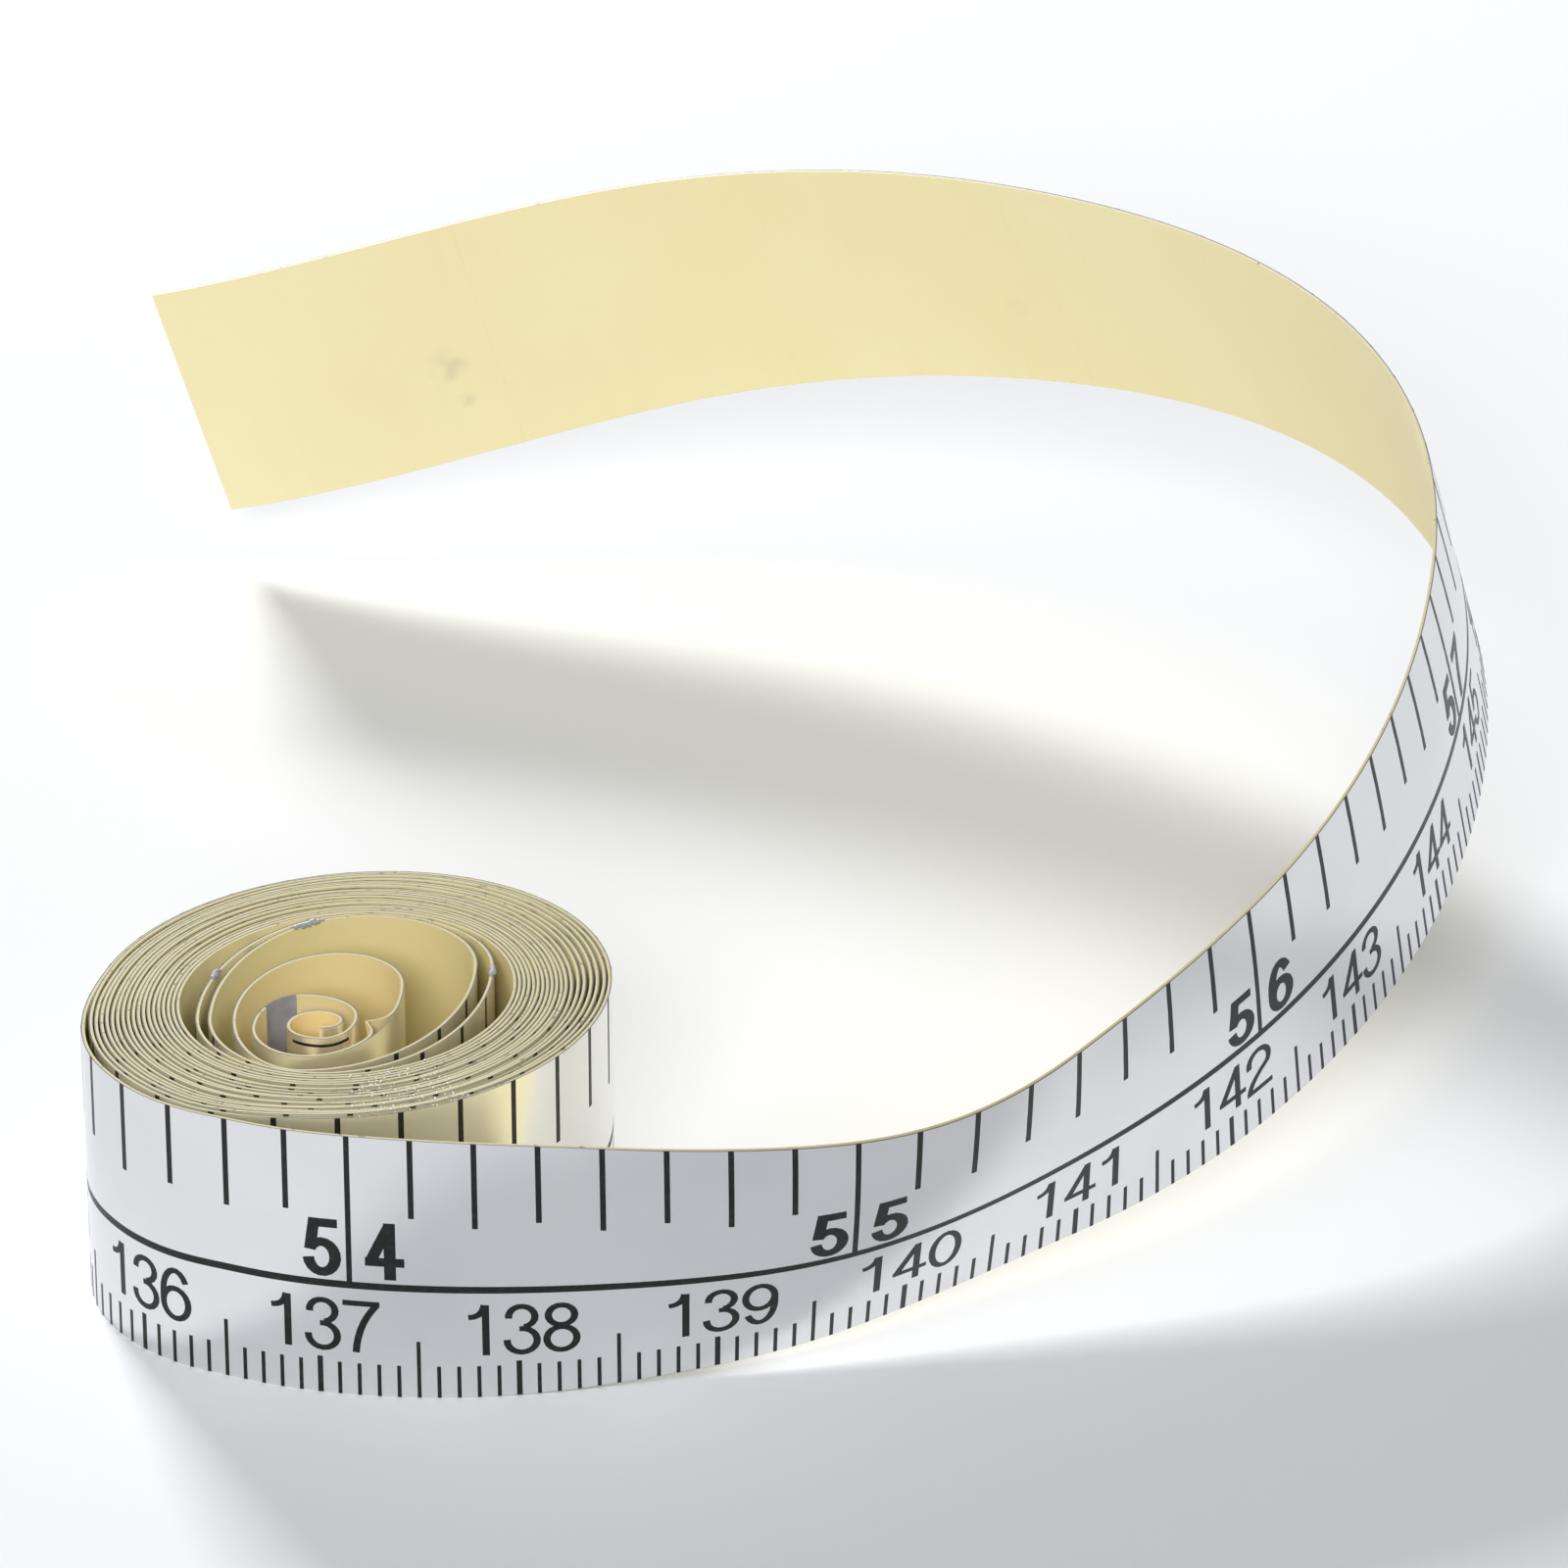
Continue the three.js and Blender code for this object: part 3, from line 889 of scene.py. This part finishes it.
# %% Make the ink and the adhesive
def make_black_ink():
    material, tree, shader = new_finish("black_ink")
    shader["Specular IOR Level"].default_value = 0.3
    thin = ramp(tree, speckle(tree, tape_place(tree), 0.35, 4.0), 0.45, 0.75)
    tree.links.new(mixed(tree, thin, (0.007, 0.007, 0.008, 1), (0.02, 0.02, 0.022, 1)), shader["Base Color"])
    tree.links.new(calc(tree, "MULTIPLY_ADD", thin, 0.12, 0.34), shader["Roughness"])
    return material


def make_adhesive_coat():
    material, tree, shader = new_finish("adhesive_coat", 0.3)
    cloud = ramp(tree, speckle(tree, tape_place(tree), 1.5), 0.35, 0.65)
    tree.links.new(mixed(tree, cloud, (0.33, 0.33, 0.36, 1), (0.43, 0.42, 0.45, 1)), shader["Base Color"])
    return material


black_ink = make_black_ink()
adhesive_coat = make_adhesive_coat()
print(black_ink.name, "and", adhesive_coat.name, "made")

# %% [markdown]
# The liner is yellow paper with a smooth silicone face. It has faint streaks across its width and a few grey
# smudges where fingers held it. Towards the inner end it is painted a deeper, warmer yellow, which is painted
# bounce light from inside the coil. Its cut edges are painted darker, as dirt and as painted shade of the
# narrow gaps between the turns, and dark specks on them are dirt and painted shade too. Tones and smudges
# are given by their places on the scale, in millimetres.

# %% Make the liner paper
# Painted bounce light: towards the inner end the liner turns a deeper, warmer yellow.
LINER_BOUNCE_TONES = [(1330, 150, (0.93, 0.795, 0.395, 1)), (-8, -28, (0.97, 0.79, 0.40, 1))]
SMUDGES = [((1537.8, -1.4, 0), 1.7, 0.6), ((1537.6, -3.5, 0), 1.0, 0.6), ((1502.6, -1.8, 0), 1.0, 0.25)]


def make_liner_paper():
    material, tree, shader = new_finish("liner_paper")
    place = tape_place(tree)
    cloud = ramp(tree, speckle(tree, place, 14.0), 0.3, 0.7)
    colour = mixed(tree, cloud, (0.90, 0.795, 0.44, 1), (0.91, 0.815, 0.48, 1))
    along = put(tree, "ShaderNodeSeparateXYZ", [place]).outputs[0]
    # Painted bounce light: a deeper, warmer yellow towards the inner end of the coil.
    for outer, inner, bounce_tone in LINER_BOUNCE_TONES:
        colour = mixed(tree, ramp(tree, along, outer, inner), colour, bounce_tone)
    streaks = ramp(tree, speckle(tree, place, 0.8, 2.0, (1.0, 0.06, 1.0)), 0.55, 0.8)
    colour = mixed(tree, calc(tree, "MULTIPLY", streaks, 0.10), colour, (0.80, 0.68, 0.36, 1))
    edge = on_edge(tree, place)
    # Painted shade and dirt: the cut edges are darkened, partly as the shade of the narrow gaps between
    # turns.
    colour = mixed(tree, calc(tree, "MULTIPLY", edge, 0.9), colour, (0.54, 0.47, 0.23, 1))
    # Dark specks on the edges, as dirt and as painted shade between the turns.
    patches = ramp(tree, speckle(tree, place, 6.0, 2.0), 0.42, 0.62)
    specks = ramp(tree, speckle(tree, place, 0.55, 4.0), 0.60, 0.68)
    dirt_and_gap_shade = calc(tree, "MULTIPLY", calc(tree, "MULTIPLY", specks, patches), edge)
    colour = mixed(tree, calc(tree, "MULTIPLY", dirt_and_gap_shade, 0.8), colour, (0.13, 0.11, 0.07, 1))
    worn = ramp(tree, speckle(tree, place, 1.8, 1.0), 0.35, 0.8)
    for spot, reach, depth in SMUDGES:
        away = put(tree, "ShaderNodeVectorMath", (place, spot), operation="DISTANCE").outputs["Value"]
        smudge = calc(tree, "MULTIPLY", calc(tree, "MULTIPLY", ramp(tree, away, reach, 0.0), worn), depth)
        colour = mixed(tree, smudge, colour, (0.42, 0.39, 0.28, 1))
    tree.links.new(colour, shader["Base Color"])
    return material


liner_paper = make_liner_paper()
print(liner_paper.name, len(liner_paper.node_tree.nodes), "nodes")

# %% [markdown]
# ## The pieces
# A tree only shows its result on an object that carries it as a modifier. The finished pieces have to be
# plain meshes, so each tree runs once on an empty host, its result is copied, and the host is removed.
# Applying the modifier would do the same, but it needs a selected object, and a copy doesn't.

# %% Turn a tree into a plain piece
def make_piece(name, tree, values):
    """Runs a tree on an empty mesh and keeps the result as a plain mesh at the origin."""
    host = bpy.data.objects.new(name + "_host", bpy.data.meshes.new(name + "_host"))
    bpy.context.scene.collection.objects.link(host)
    modifier = host.modifiers.new("tree", "NODES")
    modifier.node_group = tree
    for item in tree.interface.items_tree:
        if item.name in values:
            modifier[item.identifier] = values[item.name]
    depsgraph = bpy.context.evaluated_depsgraph_get()
    mesh = bpy.data.meshes.new_from_object(
        host.evaluated_get(depsgraph), preserve_all_data_layers=True, depsgraph=depsgraph
    )
    mesh.name = name
    bpy.data.objects.remove(host)
    piece = bpy.data.objects.new(name, mesh)
    bpy.context.scene.collection.objects.link(piece)
    return piece


print("trees to run:", ", ".join(tree.name for tree in (printed_film, tape_layer)))

# %% [markdown]
# The free run bends, so each layer of it is cut half-way between the inch marks, and the coil rides on its
# own body. Near its inner end the liner has come off in one place, which leaves the grey back of the film
# bare. Its outer end can be peeled, so it is cut there, by much less than a hair's breadth, because a broader
# cut would show as a dark line.

# %% Set out the layers and their cuts
BOND = 0.003
LAYERS = {
    "printed_film": (printed_film, 0.0, 0.048, silver_film, "face_film"),
    "adhesive_coat": (tape_layer, 0.048 + BOND, 0.016, adhesive_coat, "adhesive"),
    "liner_paper": (tape_layer, 0.064 + 2 * BOND, 0.12, liner_paper, "release_liner"),
}
PEEL_CUT = 0.004
CREASE_LIFT = 0.95


def between(number, other, share):
    """A place part of the way from one extreme of the loose turns to another."""
    return loose_places[number] + share * (loose_places[other] - loose_places[number])


BARE_FROM = between(14, 13, 0.1)
BARE_TO = between(14, 13, 0.55)
CREASE = between(11, 12, 0.45)
marks = range(54, 61)
cuts = [INNER_END] + [(mark - 0.5) * INCH for mark in marks] + [PEEL_LINE, CUT_END]
stretches = ["coil"] + [f"inch_{mark}" for mark in marks] + ["end"]
print("stretches of each layer:", ", ".join(stretches))

# %% Make one stretch of a layer
RUN_ROWS, RUN_STEP = 9, 0.4
LINER_ROWS, FLAT_ROWS, COIL_STEP = 6, 2, 0.25
CORE_ROWS, CORE_STEP = 7, 0.2


def tape_piece(layer, stretch, start, stop, rows=RUN_ROWS, step=RUN_STEP):
    """One stretch of one layer as a plain piece."""
    tree, depth, thickness, material, slot = LAYERS[layer]
    values = {
        "Path": path_object, "From": start * MM, "To": stop * MM, "Width": WIDTH * MM, "Depth": depth * MM,
        "Thickness": thickness * MM, "Height": 0.0, "Steps": int((stop - start) / step) + 2, "Rows": rows,
        "Finish": material, "Ink": black_ink, "Crease": CREASE * MM, "Crease Lift": 0.0,
    }
    if layer == "liner_paper" and stretch == "coil":
        values["Crease Lift"] = CREASE_LIFT * MM
    piece = make_piece(f"{layer}_{stretch}", tree, values)
    print(piece.name, len(piece.data.polygons), "faces")
    return piece


print("steps along the tape:", RUN_STEP, "mm on the run and", COIL_STEP, "mm in the coil")

# %% Make the layers and put them on the frame
for layer in LAYERS:
    slot = LAYERS[layer][-1]
    lined = slot == "release_liner"
    first = BARE_TO if lined else INNER_END
    coil_rows = LINER_ROWS if lined else FLAT_ROWS
    coil = tape_piece(layer, "coil", first, cuts[1], coil_rows, COIL_STEP)
    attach(coil, "coil")
    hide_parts(f"{slot}_coil")
    for index, stretch in enumerate(stretches[1:-1], start=1):
        start, stop = cuts[index], cuts[index + 1]
        piece = tape_piece(layer, stretch, start, stop)
        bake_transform(piece)
        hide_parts(f"{slot}_{stretch}")
    end = tape_piece(layer, "end", PEEL_LINE + (PEEL_CUT if lined else 0), CUT_END)
    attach(end, "liner_tab" if lined else "inch_60")
    if lined:
        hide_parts("liner_peel_tab")
core = tape_piece("liner_paper", "core", INNER_END, BARE_FROM, CORE_ROWS, CORE_STEP)
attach(core, "coil")

# %% [markdown]
# A short black bar is printed on the blank start of the tape. It is one more flat box, laid on the same path.

# %% Make the start bar
BAR_PLACE = loose_places[16]
BAR_HALF = 1.6
BAR_BREADTH = 0.16
BAR_BELOW_EDGE = 0.4
values = {
    "Path": path_object, "From": (BAR_PLACE - BAR_HALF) * MM, "To": (BAR_PLACE + BAR_HALF) * MM,
    "Width": BAR_BREADTH * MM, "Depth": -INK * MM, "Thickness": (INK + SUNK) * MM,
    "Height": (WIDTH / 2 - BAR_BELOW_EDGE) * MM, "Steps": 16, "Rows": 2, "Finish": black_ink,
}
start_bar = make_piece("start_bar", tape_layer, values)
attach(start_bar, "coil")
print(start_bar.name, len(start_bar.data.polygons), "faces")

# %% [markdown]
# ## Adhesive on the edges
# Where the coil was cut and pressed, adhesive has crept out between the turns. At the front right it stands
# on the edges as tiny beads, painted near white so that they show as glints, which is a painted highlight,
# and in three places it has smeared into grey lumps. Beads and lumps are one small ball on each point of a
# cloud, which is scattered on the flat tape with a fixed seed and then laid on the path. Placing them by hand
# would take long, and a particle system leaves no plain mesh.

# %% Make the painted glint colour of the beads
def make_painted_glint_beads():
    material, tree, shader = new_finish("painted_glint_beads", 0.12)
    # Painted highlight: the beads are near white, so that they show as bright glints under any lamp.
    clear = ramp(tree, speckle(tree, tape_place(tree), 0.3, 2.0), 0.35, 0.65)
    tree.links.new(mixed(tree, clear, (0.90, 0.89, 0.84, 1), (0.96, 0.96, 0.94, 1)), shader["Base Color"])
    return material


painted_glint_beads = make_painted_glint_beads()
print(painted_glint_beads.name, len(painted_glint_beads.node_tree.nodes), "nodes")

# %% Build the tree for beads
SMALLEST_SHARE = 0.45


def build_beads():
    sockets = {"Path": "Object", "Cloud": "Object", "Size": "Float", "Seed": "Int", "Finish": "Material"}
    tree, given, result = new_tree("beads", sockets)
    cloud = put(tree, "GeometryNodeObjectInfo", {"Object": given["Cloud"]}).outputs["Geometry"]
    ball = put(tree, "GeometryNodeMeshIcoSphere", {"Radius": 1.0, "Subdivisions": 1}).outputs[0]
    ball = put(tree, "GeometryNodeSetShadeSmooth", {0: ball, "Shade Smooth": True}).outputs[0]
    inputs = {2: SMALLEST_SHARE, 3: 1.0, 8: given["Seed"]}
    share = put(tree, "FunctionNodeRandomValue", inputs, data_type="FLOAT").outputs[1]
    radius = calc(tree, "MULTIPLY", share, given["Size"])
    inputs = {"Points": cloud, "Instance": ball, "Scale": packed(tree, radius, radius, radius)}
    balls = put(tree, "GeometryNodeInstanceOnPoints", inputs).outputs[0]
    laid_down(tree, given, result, put(tree, "GeometryNodeRealizeInstances", [balls]).outputs[0])
    return tree


beads = build_beads()
print("beads:", len(beads.nodes), "nodes")

# %% Scatter the beads and the lumps
BEAD_COUNT = 220
BEAD_SIZE = 0.07
BEAD_HEADINGS = (274, 304)
LUMP_COUNT = 26
LUMP_SIZE = 0.19
BALL_DEPTHS = (-0.16, 0.0)
BALL_HEIGHTS = (-0.02, 0.03)
SMEARS = [(loose_places[6] + 3.4, 0.32), (loose_places[1] - 4.3, 0.2), (loose_places[3] - 0.5, 0.2)]
chance = np.random.default_rng(5)
from_middle = path_points - path_points[in_coil].mean(axis=0)
heading = np.degrees(np.arctan2(from_middle[:, 1], from_middle[:, 0])) % 360
front_right = in_coil & (places > loose_places[1])
front_right &= (heading > BEAD_HEADINGS[0]) & (heading < BEAD_HEADINGS[1])


def scattered(name, spots, size, material):
    """Balls on the upper edge of the tape, at these places on the scale."""
    spots = np.array(spots)
    depths = chance.uniform(*BALL_DEPTHS, len(spots))
    heights = WIDTH / 2 + chance.uniform(*BALL_HEIGHTS, len(spots))
    mesh = bpy.data.meshes.new(name + "_cloud")
    mesh.from_pydata((np.stack([spots, heights, depths], axis=1) * MM).tolist(), [], [])
    cloud = bpy.data.objects.new(name + "_cloud", mesh)
    values = {"Path": path_object, "Cloud": cloud, "Size": size * MM, "Seed": 3, "Finish": material}
    piece = make_piece(name, beads, values)
    bpy.data.objects.remove(cloud)
    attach(piece, "coil")
    print(piece.name, len(piece.data.polygons), "faces")


bead_spots = chance.choice(places[front_right], BEAD_COUNT)
# These beads carry the painted glints.
scattered("adhesive_beads", bead_spots, BEAD_SIZE, painted_glint_beads)
lump_spots = np.concatenate([chance.normal(place, spread, LUMP_COUNT) for place, spread in SMEARS])
scattered("adhesive_lumps", lump_spots, LUMP_SIZE, adhesive_coat)
bpy.data.objects.remove(path_object)

# %% [markdown]
# ## Floor and light
# The tape stands on a plain white floor under soft studio light: an even white surround, one broad lamp
# behind it, which throws a pale shadow forwards, and one in front. The surround is stronger where a mirror or
# the camera looks at it, so the silver film shows white.

# %% Make the floor
FLOOR_HALF = 2.0
floor_mesh = bpy.data.meshes.new("floor")
floor_corners = [(FLOOR_HALF * x, FLOOR_HALF * y, 0) for x, y in ((-1, -1), (1, -1), (1, 1), (-1, 1))]
floor_mesh.from_pydata(floor_corners, [], [(0, 1, 2, 3)])
floor = bpy.data.objects.new("floor", floor_mesh)
floor_finish, _, floor_shader = new_finish("floor_white", 0.9)
floor_shader["Base Color"].default_value = (0.9, 0.9, 0.9, 1)
floor_shader["Specular IOR Level"].default_value = 0.1
floor_mesh.materials.append(floor_finish)
bpy.context.scene.collection.objects.link(floor)
print("floor:", floor.dimensions[:])

# %% Light the scene
SURROUND = 0.37
LAMP_AIM = (0, 0, 0.01)
scene = bpy.context.scene
scene.view_settings.view_transform = "Standard"
scene.world = bpy.data.worlds.new("studio")
scene.world.use_nodes = True
tree = scene.world.node_tree
background = tree.nodes["Background"].inputs
ray = put(tree, "ShaderNodeLightPath").outputs
mirrored = calc(tree, "MAXIMUM", ray["Is Glossy Ray"], ray["Is Transmission Ray"])
seen = calc(tree, "MAXIMUM", ray["Is Camera Ray"], mirrored)
tree.links.new(calc(tree, "MULTIPLY_ADD", seen, 1 - SURROUND, SURROUND), background["Strength"])
background["Color"].default_value = (0.93, 0.97, 1.03, 1)


def soft_lamp(name, place, size, power):
    """A square lamp that faces the foot of the tape."""
    lamp = bpy.data.lights.new(name, "AREA")
    lamp.size = size
    lamp.energy = power
    holder = bpy.data.objects.new(name, lamp)
    holder.location = place
    holder.rotation_euler = (Vector(LAMP_AIM) - Vector(place)).to_track_quat("-Z", "Y").to_euler()
    scene.collection.objects.link(holder)


soft_lamp("key_lamp", (-0.42, 0.95, 0.62), 0.28, 13.0)
soft_lamp("front_lamp", (-0.2, -1.28, 0.8), 0.5, 9.8)
print("lamps:", [lamp.name for lamp in bpy.data.lights])
